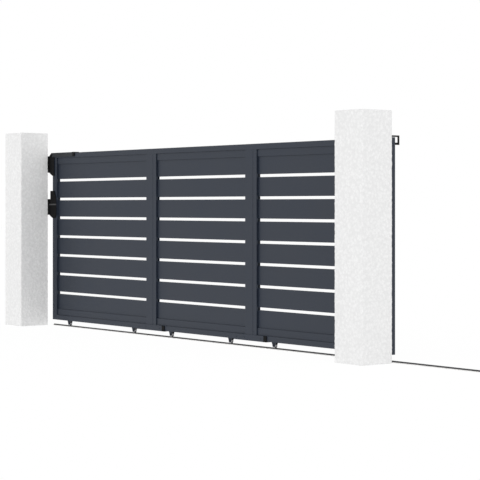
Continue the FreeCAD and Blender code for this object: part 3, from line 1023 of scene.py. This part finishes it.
class GATE_OT_fasteners(bpy.types.Operator):
    """Set the bolts and screws"""

    bl_idname = "gate.fasteners"
    bl_label = "Fasteners"

    def execute(self, context):
        sizes = context.scene.gate_sizes
        bolts = grown_mesh("anchor_bolts", seat_points("bolt_seats", bolt_seats()), bolt_tree(), {
            "Head Width": sizes.bolt_head, "Head Height": sizes.bolt_height,
            "Washer Radius": sizes.washer_radius, "Washer Thickness": sizes.washer_thickness,
            "Material": finishes["lock_steel"],
        })
        new_piece("anchor_bolts", bolts, FIXED, "lock_steel")
        screws = screw_tree()
        groups = (
            ("rail_screws", rail_screw_seats(), sizes.rail_screw_head, sizes.rail_screw_height,
             FIXED, "rail_steel"),
            ("leaf_screws", leaf_screw_seats(), sizes.screw_head, sizes.screw_height,
             LEAF, "anthracite_paint"),
            ("lock_screws", lock_screw_seats(), sizes.lock_screw_head, sizes.lock_screw_height,
             LEAF, "lock_steel"),
        )
        for name, seats, width, height, body, slot in groups:
            mesh = grown_mesh(name, seat_points(name + "_seats", seats), screws, {
                "Head Radius": width / 2, "Head Height": height, "Material": finishes[slot],
            })
            new_piece(name, mesh, body, slot)
        return {"FINISHED"}


class GATE_OT_stage(bpy.types.Operator):
    """Make the pale floor, the soft light and the camera"""

    bl_idname = "gate.stage"
    bl_label = "Stage"

    def execute(self, context):
        scene = context.scene
        stage = scene.gate_stage
        self.floor(scene, stage)
        self.dome(scene, stage)
        self.camera(scene, stage)
        scene.view_settings.view_transform = "Standard"
        return {"FINISHED"}

    def floor(self, scene, stage):
        """Flat floor under the gate; part of its light is its own, so shadows on it stay faint."""
        half = stage.floor_half
        mesh = bpy.data.meshes.new("floor")
        mesh.from_pydata(
            [(-half, -half, 0), (half, -half, 0), (half, half, 0), (-half, half, 0)], [], [(0, 1, 2, 3)]
        )
        material, _, shader, _ = new_finish("pale_floor")
        shader.inputs["Base Color"].default_value = shade(WHITE[:3], stage.floor_tone)
        shader.inputs["Roughness"].default_value = 0.9
        shader.inputs["Specular IOR Level"].default_value = 0.0
        shader.inputs["Emission Color"].default_value = WHITE
        shader.inputs["Emission Strength"].default_value = stage.floor_glow
        mesh.materials.append(material)
        floor = bpy.data.objects.new("floor", mesh)
        scene.collection.objects.link(floor)

    def dome(self, scene, stage):
        """White dome with a brighter side and a soft box, before a white backdrop."""
        world = bpy.data.worlds.new("white_dome")
        world.use_nodes = True
        tree = world.node_tree
        background = tree.nodes["Background"]
        background.inputs["Color"].default_value = WHITE
        way = tree.nodes.new("ShaderNodeTexCoord").outputs["Generated"]
        lean = maths(tree, "MULTIPLY_ADD", along(tree, way, stage.dome_side), stage.dome_lean, 1.0)
        towards_box = maths(tree, "MAXIMUM", along(tree, way, stage.box_side), 0.0)
        box = maths(tree, "MULTIPLY", maths(tree, "POWER", towards_box, stage.box_focus), stage.box_light)
        light = maths(tree, "MULTIPLY_ADD", lean, stage.dome, box)
        seen = tree.nodes.new("ShaderNodeLightPath").outputs["Is Camera Ray"]
        tree.links.new(maths(tree, "MAXIMUM", light, seen), background.inputs["Strength"])
        scene.world = world

    def camera(self, scene, stage):
        """Level camera whose frame is lowered, so that uprights stay upright."""
        data = bpy.data.cameras.new("photo_view")
        data.sensor_width = SENSOR_WIDTH
        data.lens = stage.lens
        data.shift_y = stage.frame_drop
        data.clip_end = VIEW_DEPTH
        camera = bpy.data.objects.new("photo_view", data)
        camera.location = stage.camera_place
        camera.rotation_euler = (math.pi / 2, 0.0, stage.camera_turn)
        scene.collection.objects.link(camera)
        scene.camera = camera


class GATE_PT_panel(bpy.types.Panel):
    """Sizes, colours and steps of the gate"""

    bl_label = "Sliding Driveway Gate"
    bl_space_type = "VIEW_3D"
    bl_region_type = "UI"
    bl_category = "Gate"

    def draw(self, context):
        for group in (context.scene.gate_sizes, context.scene.gate_colours, context.scene.gate_stage):
            box = self.layout.box()
            for name in group.__annotations__:
                box.prop(group, name)
        for step in STEPS:
            self.layout.operator(step.bl_idname)


STEPS = (
    GATE_OT_stage, GATE_OT_finishes, GATE_OT_pillars, GATE_OT_leaf, GATE_OT_running_gear, GATE_OT_catches,
    GATE_OT_fasteners,
)
CLASSES = (GateSizes, GateColours, GateStage, GATE_PT_panel) + STEPS


def register():
    for item in CLASSES:
        bpy.utils.register_class(item)
    bpy.types.Scene.gate_sizes = PointerProperty(type=GateSizes)
    bpy.types.Scene.gate_colours = PointerProperty(type=GateColours)
    bpy.types.Scene.gate_stage = PointerProperty(type=GateStage)


def unregister():
    del bpy.types.Scene.gate_stage
    del bpy.types.Scene.gate_colours
    del bpy.types.Scene.gate_sizes
    for item in reversed(CLASSES):
        bpy.utils.unregister_class(item)


def main():
    register()
    bpy.ops.gate.stage()
    bpy.ops.gate.finishes()
    bpy.ops.gate.pillars()
    bpy.ops.gate.leaf()
    bpy.ops.gate.running_gear()
    bpy.ops.gate.catches()
    bpy.ops.gate.fasteners()


if __name__ == "__main__":
    main()
